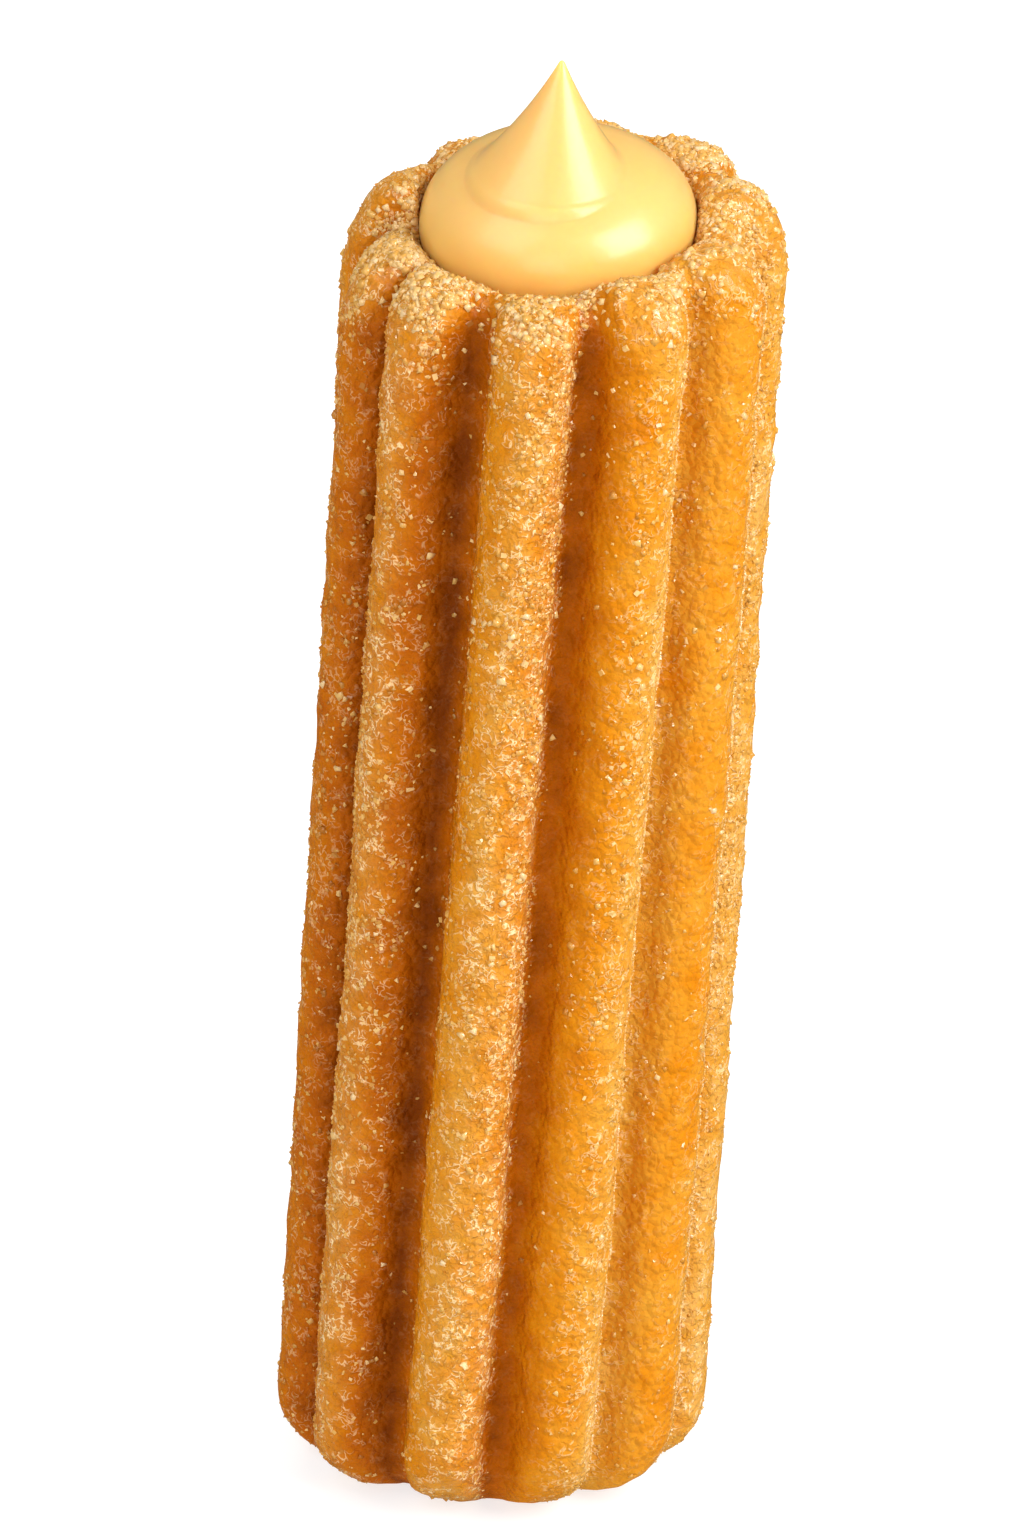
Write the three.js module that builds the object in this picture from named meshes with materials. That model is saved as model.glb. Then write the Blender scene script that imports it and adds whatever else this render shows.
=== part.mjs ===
// Filled churro standing on its flat foot: a ribbed tube of fried dough, closed at the foot,
// with custard running down its middle and swelling out of the top into a peak.
// Millimetres. +Z runs up the length, -Y is the front, +X the right.
import * as THREE from 'three';

// Ribs
const ribCount = 10;
const crestRadius = 18.5;       // axis to the back of a rib
const ribRound = 3.4;           // radius of a rib's rounded back
const grooveRound = 1.6;        // radius of the bottom of a groove
const firstRib = -15.5;         // degrees from the front towards the right, at the foot
const twist = 6.8;              // degrees the ribs turn from foot to rim
const ribStray = [1.5, 0.5, -2, 0, 0, 2, 8, 16, 8, 1];   // degrees each rib stands off its place

// Dough ends
const doughHeight = 117;        // level that the rib ends rise to or fall short of
const rimDrop = [5.0, 3.4, 2.1, 0, -0.5, -0.1, 1.4, 1.1, 4.6, 4.8];   // fall of each rib end
const grooveDrop = 0.4;         // how much lower a groove ends than its ribs
const rimRoll = [5, 5, 5, 7.5, 5, 5, 5, 9.5, 7.5, 5.5]; // height of the outer rounding of each rib end
const grooveRoll = 0.55;        // share of that rounding left in a groove
const rimCrest = [12.8, 13.6];  // radius of the rim's highest line, in a groove and on a rib
const rimLip = 2.2;             // depth of the inner rounding of the rim
const footGroove = 9;           // radius of the flat foot at a groove
const footReach = [9.2, 9.1, 10.4, 13.5, 12, 11, 11, 12, 13.8, 11.6];    // the same under each rib
const footRoll = [8.8, 9.2, 7.8, 6, 7, 7, 7, 7, 6, 6];  // height of the rounding under each rib
const grooveFootRoll = 0.6;     // share of that rounding left in a groove

// Custard
const fillOffset = [-0.7, 0];   // centre of the bore
const boreRadius = 10.65;
const boreFloor = 9;            // level of the closed end of the bore
const skin = 0.42;              // space between custard and dough
const bulgeLevel = 113.7;       // level of the widest circle of the bulge
const bulgeRadius = 11.4;
const bulgeRise = 6.65;         // height of the dome above the widest circle
const domeFullness = 2.3;       // 2 is an ellipse, more is fuller
const bulgeUnder = 2.4;         // depth of the tuck under the widest circle
const bulgeTilt = [0.045, 0.1]; // rise of the bulge per millimetre to the right and to the back
const peakTop = 14.3;           // tip above the widest circle
const peakFoot = [-1.45, -2.0]; // centre of the peak where it leaves the dome
const peakTip = [-1.2, -1.0];   // centre of the tip
const peakRadius = 6.4;         // radius of the peak where it leaves the dome
const peakLip = 1.0;            // width of the lip round the foot of the peak
const tipRound = 0.22;
const peakFlare = [0.49, 0.0215];   // growth of the peak's radius with depth below the tip
const peakShelf = 0.7;          // fall of that lip per millimetre outwards
const peakLift = 0.45;          // how much higher the lip stands on the left
const blendWidth = 0.5;         // softness of the crease between peak and dome

// Facets
const crestSteps = 8;
const grooveSteps = 4;
const wallLevels = [0, -1, -1.8, -2.4, -2.85];    // rows of the bore wall below the widest circle
const custardSteps = 52;

const degrees = Math.PI / 180;
const ribAngle = (2 * Math.PI) / ribCount;
const coreRadius = boreRadius - skin;

const mix = (a, b, t) => a + (b - a) * t;
const clamp = (v) => Math.min(1, Math.max(0, v));
const smooth = (v) => clamp(v) ** 2 * (3 - 2 * clamp(v));
const range = (count) => Array.from({ length: count }, (_, i) => i);

// One rib as an arc over its back and half a groove on each side, as [angle, radius] pairs.
function ribOutline() {
  const backCentre = crestRadius - ribRound;
  const along = backCentre * Math.cos(ribAngle / 2);
  const reach = ribRound + grooveRound;
  const grooveCentre = along + Math.sqrt(along ** 2 - backCentre ** 2 + reach ** 2);
  const gx = grooveCentre * Math.cos(ribAngle / 2);
  const gy = grooveCentre * Math.sin(ribAngle / 2);
  const touch = Math.atan2(gy, gx - backCentre);
  const grooveMiddle = Math.PI + ribAngle / 2;
  const side = [];
  for (let i = 0; i <= crestSteps / 2; i++) {
    const a = (touch * i) / (crestSteps / 2);
    side.push([backCentre + ribRound * Math.cos(a), ribRound * Math.sin(a)]);
  }
  for (let i = 1; i <= grooveSteps / 2; i++) {
    const a = mix(touch + Math.PI, grooveMiddle, i / (grooveSteps / 2));
    side.push([gx + grooveRound * Math.cos(a), gy + grooveRound * Math.sin(a)]);
  }
  const polar = side.map(([x, y]) => [Math.atan2(y, x), Math.hypot(x, y)]);
  const mirrored = polar.slice(1).reverse().map(([a, r]) => [-a, r]);
  return { outline: [...mirrored, ...polar].slice(0, -1), grooveRadius: grooveCentre - grooveRound };
}

// A per-rib value carried round the ring: steady on each rib, easing across the grooves.
function aroundRibs(values, turn) {
  const place = (turn + ribCount) % ribCount;
  const rib = Math.floor(place) % ribCount;
  const t = smooth((place - Math.floor(place) - 0.25) / 0.5);
  return mix(values[rib], values[(rib + 1) % ribCount], t);
}

// Radius of the bore wall at a level above the tilted widest circle of the bulge.
function boreWall(level) {
  const t = level / (bulgeUnder + skin);
  if (level >= 0) return bulgeRadius + skin;
  if (t <= -1) return boreRadius;
  const swell = bulgeRadius - coreRadius + skin;
  return Math.max(boreRadius, coreRadius + swell * Math.sqrt(1 - t * t));
}

const tiltAt = (x, y) => bulgeTilt[0] * (x - fillOffset[0]) + bulgeTilt[1] * (y - fillOffset[1]);

// The section of the dough round the ring: angle, radius, how far towards a crest, end shapes.
function doughSection() {
  const { outline, grooveRadius } = ribOutline();
  return range(ribCount).flatMap((rib) => outline.map(([angle, radius]) => {
    const turn = rib + angle / ribAngle;
    const crest = clamp((radius - grooveRadius) / (crestRadius - grooveRadius));
    const stray = aroundRibs(ribStray, turn);
    return {
      angle: angle + rib * ribAngle + (firstRib + stray) * degrees,
      radius,
      rimTop: doughHeight - aroundRibs(rimDrop, turn) - grooveDrop * (1 - crest),
      rimRoll: aroundRibs(rimRoll, turn) * mix(grooveRoll, 1, crest),
      rimCrest: mix(rimCrest[0], rimCrest[1], crest),
      foot: mix(footGroove, aroundRibs(footReach, turn), crest),
      footRoll: aroundRibs(footRoll, turn) * mix(grooveFootRoll, 1, crest),
    };
  }));
}

function doughPoint(at, radius, z) {
  const angle = at.angle + twist * degrees * (z / doughHeight);
  return [radius * Math.sin(angle), -radius * Math.cos(angle), z];
}

function borePoint(at, z, radius) {
  const angle = at.angle + twist * degrees;
  const x = fillOffset[0] + radius * Math.sin(angle);
  const y = fillOffset[1] - radius * Math.cos(angle);
  return [x, y, z];
}

// Bore wall directly inside the rim at a height z.
function wallPoint(at, z) {
  const [x, y] = borePoint(at, z, bulgeRadius);
  return borePoint(at, z, boreWall(z - bulgeLevel - tiltAt(x, y)));
}

// Rows of the dough from the foot up the outside, over the rim and down the bore.
function doughRows() {
  const section = doughSection();
  const rows = [];
  for (const t of [0, 0.25, 0.5, 0.75, 1]) {
    const a = (t * Math.PI) / 2;
    rows.push(section.map((s) => doughPoint(s,
      mix(s.foot, s.radius, Math.sin(a)), s.footRoll * (1 - Math.cos(a)))));
  }
  for (const t of [1, 2, 3, 4, 5, 6, 7].map((i) => i / 8)) {
    rows.push(section.map((s) => doughPoint(s, s.radius, mix(s.footRoll, s.rimTop - s.rimRoll, t))));
  }
  for (const t of [0, 0.25, 0.5, 0.75, 1]) {
    const a = (t * Math.PI) / 2;
    rows.push(section.map((s) => doughPoint(s,
      mix(s.rimCrest, s.radius, Math.cos(a)), s.rimTop - s.rimRoll * (1 - Math.sin(a)))));
  }
  for (const t of [0.35, 0.7, 1]) {
    const a = (t * Math.PI) / 2;
    rows.push(section.map((s) => {
      const z = s.rimTop - rimLip * (1 - Math.cos(a));
      const crest = doughPoint(s, s.rimCrest, z);
      const wall = wallPoint(s, z);
      return crest.map((v, k) => (k === 2 ? z : mix(wall[k], v, 1 - Math.sin(a))));
    }));
  }
  wallLevels.forEach((level, i) => rows.push(section.map((s) => {
    const [x, y] = borePoint(s, 0, bulgeRadius);
    return wallPoint(s, Math.min(bulgeLevel + tiltAt(x, y) + level, s.rimTop - rimLip - 0.3 * (i + 1)));
  })));
  rows.push(section.map((s) => borePoint(s, boreFloor + 1.5, boreRadius)));
  rows.push(section.map((s) => borePoint(s, boreFloor, boreRadius - 1.5)));
  return rows;
}

// Depth below the tip at which the peak has the radius r, with a lip past the peak's foot.
function peakDepth(r) {
  const [a, b] = peakFlare;
  const inside = Math.min(r, peakRadius);
  const depth = inside < tipRound
    ? 0.5 * (inside / tipRound) ** 2 * tipRound
    : 0.5 * tipRound + (-a + Math.sqrt(a * a + 4 * b * (inside - tipRound))) / (2 * b);
  const past = Math.max(0, r - peakRadius) / peakLip;
  const lip = past < 1 ? 1.4 * (1 - Math.sqrt(1 - past * past)) : 1.4 + 3 * (past - 1);
  return depth + lip + peakShelf * Math.max(0, r - peakRadius);
}

function domeHeight(x, y) {
  const away = Math.hypot(x - fillOffset[0], y - fillOffset[1]) / bulgeRadius;
  return bulgeRise * Math.sqrt(Math.max(0, 1 - away ** domeFullness));
}

function softMax(a, b) {
  const t = clamp(0.5 + (a - b) / (2 * blendWidth));
  return mix(b, a, t) + blendWidth * t * (1 - t);
}

// Ring of the custard's top, r from the axis of the peak or the dome.
function custardTopRing(r) {
  const centre = [0, 1].map((k) => (r < peakRadius
    ? mix(peakTip[k], peakFoot[k], r / peakRadius)
    : mix(peakFoot[k], fillOffset[k], smooth((r - peakRadius) / (bulgeRadius - peakRadius)))));
  return range(custardSteps).map((i) => {
    const a = (2 * Math.PI * i) / custardSteps;
    const x = centre[0] + r * Math.sin(a);
    const y = centre[1] - r * Math.cos(a);
    const out = Math.min(1, r / peakRadius);
    const lift = peakLift * (0.5 - 0.5 * Math.sin(a)) * out ** 4;
    const peak = peakTop - peakDepth(r) + tiltAt(x, y) * out ** 2 + lift;
    return [x, y, bulgeLevel + softMax(domeHeight(x, y) + tiltAt(x, y), peak)];
  });
}

function custardRing(r, z, tilt) {
  return range(custardSteps).map((i) => {
    const a = (2 * Math.PI * i) / custardSteps;
    const x = fillOffset[0] + r * Math.sin(a);
    const y = fillOffset[1] - r * Math.cos(a);
    return [x, y, z + tilt * tiltAt(x, y)];
  });
}

// Rows of the custard from its foot in the bore up to the tip.
function custardRows() {
  const rows = [
    custardRing(coreRadius - 1.7, boreFloor + skin, 0),
    custardRing(coreRadius, boreFloor + 1.9, 0),
    custardRing(coreRadius, mix(boreFloor, bulgeLevel, 0.5), 0),
  ];
  for (const t of [0, 0.25, 0.5, 0.75, 1]) {
    const a = (t * Math.PI) / 2;
    const r = mix(coreRadius, bulgeRadius, Math.sin(a));
    rows.push(custardRing(r, bulgeLevel - bulgeUnder * Math.cos(a), 1));
  }
  const dome = [0.13, 0.27, 0.41, 0.55, 0.68, 0.8, 0.9].map((t) => {
    const a = (t * Math.PI) / 2;
    return bulgeRadius * Math.cos(a);
  }).filter((r) => r > peakRadius + peakLip + 0.3);
  const lip = [peakRadius + peakLip, peakRadius + 0.55 * peakLip, peakRadius];
  const peak = [5.6, 4.8, 4.0, 3.2, 2.3, 1.5, 0.85, 0.4, 0.12];
  for (const r of [...dome, ...lip, ...peak]) rows.push(custardTopRing(r));
  return rows;
}

// Closed solid from rows of equal length, with a flat fan over the first and the last row.
function solidFromRows(rows) {
  const width = rows[0].length;
  const middle = (row) => [0, 1, 2].map((k) => row.reduce((sum, p) => sum + p[k], 0) / width);
  const points = [...rows.flat(), middle(rows[0]), middle(rows.at(-1))];
  const faces = [];
  const startHub = rows.length * width;
  const lastRow = (rows.length - 1) * width;
  for (let i = 0; i < width; i++) {
    const j = (i + 1) % width;
    for (let row = 0; row < rows.length - 1; row++) {
      const low = row * width;
      const high = low + width;
      faces.push(low + i, low + j, high + j, low + i, high + j, high + i);
    }
    faces.push(startHub, j, i, startHub + 1, lastRow + i, lastRow + j);
  }
  const geometry = new THREE.BufferGeometry();
  geometry.setAttribute('position', new THREE.Float32BufferAttribute(points.flat(), 3));
  geometry.setIndex(faces);
  return geometry;
}

function addMesh(group, name, geometry, look) {
  geometry.computeVertexNormals();
  const mesh = new THREE.Mesh(geometry, new THREE.MeshStandardMaterial(look));
  mesh.name = name;
  group.add(mesh);
}

const dough = solidFromRows(doughRows());
const custard = solidFromRows(custardRows());

// Centre the whole on the vertical axis.
dough.computeBoundingBox();
const middle = dough.boundingBox.getCenter(new THREE.Vector3());
for (const geometry of [dough, custard]) geometry.translate(-middle.x, -middle.y, 0);

const group = new THREE.Group();
group.name = 'filled_churro';
addMesh(group, 'ribbed_dough', dough, { color: 0xd98a2b, roughness: 0.62, metalness: 0 });
addMesh(group, 'custard_filling', custard, { color: 0xf8d47c, roughness: 0.28, metalness: 0 });

export default group;
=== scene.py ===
import math

import bpy
import numpy as np
from mathutils import Matrix, Vector


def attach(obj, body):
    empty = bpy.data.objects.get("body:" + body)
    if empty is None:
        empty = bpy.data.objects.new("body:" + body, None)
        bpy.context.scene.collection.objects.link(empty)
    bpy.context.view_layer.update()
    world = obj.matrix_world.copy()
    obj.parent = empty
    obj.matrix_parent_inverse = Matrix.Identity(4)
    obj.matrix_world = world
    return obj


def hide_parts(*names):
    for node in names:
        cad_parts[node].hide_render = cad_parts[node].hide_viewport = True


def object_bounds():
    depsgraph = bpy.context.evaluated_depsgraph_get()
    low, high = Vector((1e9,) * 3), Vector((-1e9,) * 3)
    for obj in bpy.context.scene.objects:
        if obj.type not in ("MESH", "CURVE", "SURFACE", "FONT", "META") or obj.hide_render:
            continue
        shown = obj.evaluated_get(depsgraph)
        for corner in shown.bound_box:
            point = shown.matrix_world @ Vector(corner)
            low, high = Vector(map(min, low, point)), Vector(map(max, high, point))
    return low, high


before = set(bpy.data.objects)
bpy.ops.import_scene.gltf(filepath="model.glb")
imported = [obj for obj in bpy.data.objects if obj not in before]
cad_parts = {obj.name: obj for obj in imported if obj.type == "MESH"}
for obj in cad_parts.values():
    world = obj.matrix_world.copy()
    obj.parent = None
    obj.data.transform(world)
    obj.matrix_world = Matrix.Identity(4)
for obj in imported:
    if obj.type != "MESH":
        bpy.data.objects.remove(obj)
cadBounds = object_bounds()
print("frame loaded")

mm = 0.001

# ---- maths helpers


def mix(a, b, t):
    return a + (b - a) * t


def smooth(t):
    t = np.clip(t, 0.0, 1.0)
    return t * t * (3.0 - 2.0 * t)


def softNoise(points, size, seed, lattice=32):  # smooth noise from -1 to 1, features about size across
    table = np.random.default_rng(seed).uniform(-1.0, 1.0, (lattice,) * 3)
    place = points / size + 1000.0
    cell = np.floor(place).astype(int)
    f = smooth(place - cell)
    low, high = cell % lattice, (cell + 1) % lattice
    total = 0.0
    for cx in (0, 1):
        for cy in (0, 1):
            for cz in (0, 1):
                ix = (high if cx else low)[..., 0]
                iy = (high if cy else low)[..., 1]
                iz = (high if cz else low)[..., 2]
                weight = (
                    (f[..., 0] if cx else 1 - f[..., 0])
                    * (f[..., 1] if cy else 1 - f[..., 1])
                    * (f[..., 2] if cz else 1 - f[..., 2])
                )
                total = total + weight * table[ix, iy, iz]
    return total


# ---- mesh helpers


def makePiece(name, points, faces, flat=False):  # points in millimetres
    mesh = bpy.data.meshes.new(name)
    mesh.vertices.add(len(points))
    mesh.vertices.foreach_set("co", (np.asarray(points) * mm).astype(np.float32).ravel())
    sizes = np.array([len(face) for face in faces])
    corners = np.concatenate(list(faces))
    starts = np.concatenate([[0], np.cumsum(sizes)[:-1]])
    mesh.loops.add(len(corners))
    mesh.loops.foreach_set("vertex_index", corners.astype(np.int32))
    mesh.polygons.add(len(sizes))
    mesh.polygons.foreach_set("loop_start", starts.astype(np.int32))
    mesh.update(calc_edges=True)
    mesh.validate()
    if flat:
        mesh.shade_flat()
    else:
        mesh.shade_smooth()
    piece = bpy.data.objects.new(name, mesh)
    bpy.context.scene.collection.objects.link(piece)
    return piece


def addValues(piece, name, values):
    layer = piece.data.attributes.new(name, "FLOAT", "POINT")
    layer.data.foreach_set("value", np.asarray(values, dtype=np.float32).ravel())


def gridFaces(rows, steps):  # quads between rings of equal length, joined all round
    r, s = np.meshgrid(np.arange(rows - 1), np.arange(steps), indexing="ij")
    low, right = r * steps + s, r * steps + (s + 1) % steps
    return np.stack([low, right, right + steps, low + steps], -1).reshape(-1, 4)


def closedTube(name, rings):  # rings closed by a hub at each end
    endShare = 0.02  # share of the UV height that each end takes
    rows, steps = rings.shape[:2]
    hubs = np.stack([rings[0].mean(0), rings[-1].mean(0)])
    points = np.concatenate([rings.reshape(-1, 3), hubs])
    quads = gridFaces(rows, steps)
    i = np.arange(steps)
    j = (i + 1) % steps
    last = (rows - 1) * steps
    foot = np.stack([np.full(steps, rows * steps), j, i], -1)
    top = np.stack([np.full(steps, rows * steps + 1), last + i, last + j], -1)
    piece = makePiece(name, points, list(quads) + list(foot) + list(top))
    u = np.stack([i, i + 1, i + 1, i], -1) / steps
    r = np.arange(rows - 1)
    v = endShare + (1 - 2 * endShare) * np.stack([r, r, r + 1, r + 1], -1) / (rows - 1)
    grid = (rows - 1, steps, 4)
    gridUv = np.stack([np.broadcast_to(u[None], grid), np.broadcast_to(v[:, None], grid)], -1).reshape(-1, 2)
    footUv = np.stack([np.stack([(i + 0.5) / steps, (i + 1) / steps, i / steps], -1),
                       np.broadcast_to([0.0, endShare, endShare], (steps, 3))], -1).reshape(-1, 2)
    topUv = np.stack([np.stack([(i + 0.5) / steps, i / steps, (i + 1) / steps], -1),
                      np.broadcast_to([1.0, 1 - endShare, 1 - endShare], (steps, 3))], -1).reshape(-1, 2)
    layer = piece.data.uv_layers.new(name="OFBake")
    layer.data.foreach_set("uv", np.concatenate([gridUv, footUv, topUv]).astype(np.float32).ravel())
    return piece


def ringNormals(rings):  # outward normals of a grid of rings that climbs the outside
    around = np.roll(rings, -1, 1) - np.roll(rings, 1, 1)
    along = np.gradient(rings, axis=0)
    normal = np.cross(around, along)
    length = np.linalg.norm(normal, axis=-1, keepdims=True)
    return normal / np.maximum(length, 1e-9)


# ---- shape of the dough, in millimetres

doughShape = {
    "ribs": 10,
    "crestRadius": 18.5,
    "ribRound": 3.4,
    "grooveRound": 1.6,
    "firstRib": -15.5,  # degrees from the front towards the right, at the foot
    "twist": 6.8,  # degrees from the foot to the rim
    "stray": [1.5, 0.5, -2, 0, 0, 2, 8, 16, 8, 1],
    "height": 117.0,
    "rimDrop": [5.0, 3.4, 2.1, 0, -0.5, -0.1, 1.4, 1.1, 4.6, 4.8],
    "grooveDrop": 0.4,
    "rimRoll": [5, 5, 5, 7.5, 5, 5, 5, 9.5, 7.5, 5.5],
    "grooveRoll": 0.55,
    "rimCrest": (12.8, 13.6),
    "rimLip": 2.2,
    "footGroove": 9.0,
    "footReach": [9.2, 9.1, 10.4, 13.5, 12, 11, 11, 12, 13.8, 11.6],
    "footRoll": [8.8, 9.2, 7.8, 6, 7, 7, 7, 7, 6, 6],
    "grooveFootRoll": 0.6,
    "ringSteps": 372,
    "footShares": (0.12, 0.3, 0.5, 0.7, 0.86),  # rings of the flat foot, as shares of its width
    "roundRows": 17,
    "wallRows": 214,
    "lipRows": 6,
    "boreLevels": (0, -1, -1.8, -2.4, -2.85),  # rings of the bore, measured from the custard's edge
    "boreStep": 0.3,
    "boreRound": 1.5,
}

fillShape = {
    "offset": (-0.7, 0.0),
    "boreRadius": 10.65,
    "boreFloor": 9.0,
    "skin": 0.15,
    "level": 113.7,
    "radius": 11.4,
    "rise": 6.65,
    "fullness": 2.3,
    "under": 2.4,
    "tilt": (0.045, 0.1),
    "peakTop": 14.3,
    "peakFoot": (-1.45, -2.0),
    "peakTip": (-1.2, -1.0),
    "peakRadius": 6.4,
    "peakLip": 1.0,
    "tipRound": 0.22,
    "flare": (0.49, 0.0215),
    "blend": 0.4,
    "shelf": 0.7,
    "leftLift": 0.45,
    "lipFall": 1.4,
    "lipSlope": 3,
    # height and strength of the painted shade where the custard turns under
    "shadeFadeHeight": 3.4,
    "shadeFadeShare": 0.75,
    "plugRound": 1.7,
    "plugSide": 1.9,
    "steps": 216,
    "underRows": 17,
    "domeRows": 64,
    "foldRows": 9,
    "peakRows": 48,
    "rowGap": 0.1,
    "tipRadii": (0.36, 0.24, 0.15, 0.08, 0.03),
    "tipFrom": 0.5,
}


def aroundRibs(values, turn):  # steady on each rib, easing across the grooves
    values = np.asarray(values, float)
    place = turn % len(values)
    rib = np.floor(place).astype(int) % len(values)
    t = smooth((place - np.floor(place) - 0.25) / 0.5)
    return mix(values[rib], values[(rib + 1) % len(values)], t)


def ribOutline(shape):
    half = math.pi / shape["ribs"]
    backCentre = shape["crestRadius"] - shape["ribRound"]
    along = backCentre * math.cos(half)
    reach = shape["ribRound"] + shape["grooveRound"]
    grooveCentre = along + math.sqrt(along**2 - backCentre**2 + reach**2)
    gx, gy = grooveCentre * math.cos(half), grooveCentre * math.sin(half)
    touch = math.atan2(gy, gx - backCentre)
    back = np.linspace(0, touch, 60)
    dip = np.linspace(touch + math.pi, math.pi + half, 30)[1:]
    ribX, ribY = backCentre + shape["ribRound"] * np.cos(back), shape["ribRound"] * np.sin(back)
    dipX, dipY = gx + shape["grooveRound"] * np.cos(dip), gy + shape["grooveRound"] * np.sin(dip)
    x, y = np.concatenate([ribX, dipX]), np.concatenate([ribY, dipY])
    angle, radius = np.arctan2(y, x), np.hypot(x, y)
    return (
        np.concatenate([-angle[:0:-1], angle[:-1]]),
        np.concatenate([radius[:0:-1], radius[:-1]]),
        grooveCentre - shape["grooveRound"],
    )


def doughSection(shape):  # the ring of the dough at equal steps along its outline
    angle, radius, grooveRadius = ribOutline(shape)
    wedge = 2 * math.pi / shape["ribs"]
    wedges = [angle + wedge * rib for rib in range(shape["ribs"])]
    allAngle = np.concatenate(wedges + [[angle[0] + 2 * math.pi]])
    allRadius = np.concatenate([radius] * shape["ribs"] + [[radius[0]]])
    x, y = allRadius * np.cos(allAngle), allRadius * np.sin(allAngle)
    length = np.concatenate([[0], np.cumsum(np.hypot(np.diff(x), np.diff(y)))])
    steps = np.linspace(0, length[-1], shape["ringSteps"] + 1)[:-1]
    angle = np.interp(steps, length, allAngle)
    radius = np.interp(steps, length, allRadius)
    turn = angle / wedge
    crest = np.clip((radius - grooveRadius) / (shape["crestRadius"] - grooveRadius), 0, 1)
    return {
        "angle": angle + np.radians(shape["firstRib"] + aroundRibs(shape["stray"], turn)),
        "radius": radius,
        "turn": turn,
        "place": steps / length[-1] * shape["ribs"] - 0.5,  # counts ribs by length, whole on each crest
        "crest": crest,
        "rimTop": shape["height"] - aroundRibs(shape["rimDrop"], turn) - shape["grooveDrop"] * (1 - crest),
        "rimRoll": aroundRibs(shape["rimRoll"], turn) * mix(shape["grooveRoll"], 1, crest),
        "rimCrest": mix(shape["rimCrest"][0], shape["rimCrest"][1], crest),
        "foot": mix(shape["footGroove"], aroundRibs(shape["footReach"], turn), crest),
        "footRoll": aroundRibs(shape["footRoll"], turn) * mix(shape["grooveFootRoll"], 1, crest),
    }


def tiltAt(fill, x, y):
    return fill["tilt"][0] * (x - fill["offset"][0]) + fill["tilt"][1] * (y - fill["offset"][1])


def boreWall(fill, level):
    core = fill["boreRadius"] - fill["skin"]
    swell = fill["radius"] - core + fill["skin"]
    t = np.clip(level / (fill["under"] + fill["skin"]), -1, 0)
    return np.maximum(fill["boreRadius"], core + swell * np.sqrt(1 - t * t))


def doughRings(shape, fill):
    s = doughSection(shape)
    rings = []

    def outerPoint(radius, z):
        angle = s["angle"] + np.radians(shape["twist"]) * (z / shape["height"])
        return np.stack([radius * np.sin(angle), -radius * np.cos(angle), z + 0 * angle], -1)

    def ring(radius, z):
        rings.append(outerPoint(radius, z))

    def borePoint(z, radius):
        angle = s["angle"] + np.radians(shape["twist"])
        x, y = fill["offset"][0] + radius * np.sin(angle), fill["offset"][1] - radius * np.cos(angle)
        return np.stack([x, y, z + 0 * angle], -1)

    def wallPoint(z):
        edge = borePoint(z, fill["radius"])
        return borePoint(z, boreWall(fill, z - fill["level"] - tiltAt(fill, edge[:, 0], edge[:, 1])))

    for share in shape["footShares"]:  # the flat foot
        ring(s["foot"] * share, 0.0)
    for t in np.linspace(0, 1, shape["roundRows"]):  # rounding under the ribs
        a = t * math.pi / 2
        ring(mix(s["foot"], s["radius"], math.sin(a)), s["footRoll"] * (1 - math.cos(a)))
    for t in np.linspace(0, 1, shape["wallRows"] + 2)[1:-1]:
        ring(s["radius"], mix(s["footRoll"], s["rimTop"] - s["rimRoll"], t))
    for t in np.linspace(0, 1, shape["roundRows"]):  # rounding over the rib ends
        a = t * math.pi / 2
        ring(mix(s["rimCrest"], s["radius"], math.cos(a)), s["rimTop"] - s["rimRoll"] * (1 - math.sin(a)))
    for t in np.linspace(0, 1, shape["lipRows"] + 1)[1:]:  # inner lip
        a = t * math.pi / 2
        z = s["rimTop"] - shape["rimLip"] * (1 - math.cos(a))
        blend = mix(wallPoint(z), outerPoint(s["rimCrest"], z), 1 - math.sin(a))
        blend[:, 2] = z
        rings.append(blend)
    for i, level in enumerate(shape["boreLevels"]):
        edge = borePoint(0.0, fill["radius"])
        z = fill["level"] + tiltAt(fill, edge[:, 0], edge[:, 1]) + level
        rings.append(wallPoint(np.minimum(z, s["rimTop"] - shape["rimLip"] - shape["boreStep"] * (i + 1))))
    rings.append(borePoint(fill["boreFloor"] + shape["boreRound"], fill["boreRadius"]))
    rings.append(borePoint(fill["boreFloor"], fill["boreRadius"] - shape["boreRound"]))
    outside = len(shape["footShares"]) + 2 * shape["roundRows"] + shape["wallRows"] + shape["lipRows"]
    return np.stack(rings), s, outside  # outside counts the rings that can be seen


# layers of relief: height and width in millimetres, squeeze along the length, seed
reliefShape = {
    "wave": [(0.16, 9.0, 0.35, 11), (0.1, 3.6, 0.6, 12)],
    "crust": [(0.14, 1.8, 1, 13), (0.1, 1.05, 1, 14)],
    "grooveShare": 0.6,
    "fadeRows": 7,
}


def noiseLayers(points, layers):
    return sum(high * softNoise(points * [1, 1, squeeze], wide, seed) for high, wide, squeeze, seed in layers)


def doughRelief(rings, normals, s, outside, shape):  # uneven piping and a crust, along the normal
    flatRows = len(doughShape["footShares"])
    fade = np.ones(len(rings))
    fade[outside:] = 0.0
    fade[:flatRows] = 0.0
    fade[flatRows:flatRows + shape["fadeRows"]] = np.linspace(0, 1, shape["fadeRows"])
    crust = noiseLayers(rings, shape["crust"]) * mix(shape["grooveShare"], 1.0, s["crest"])[None]
    relief = (noiseLayers(rings, shape["wave"]) + crust) * fade[:, None]
    moved = rings + normals * relief[..., None]
    moved[..., 2] = np.maximum(moved[..., 2], 0.0)
    return moved


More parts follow.
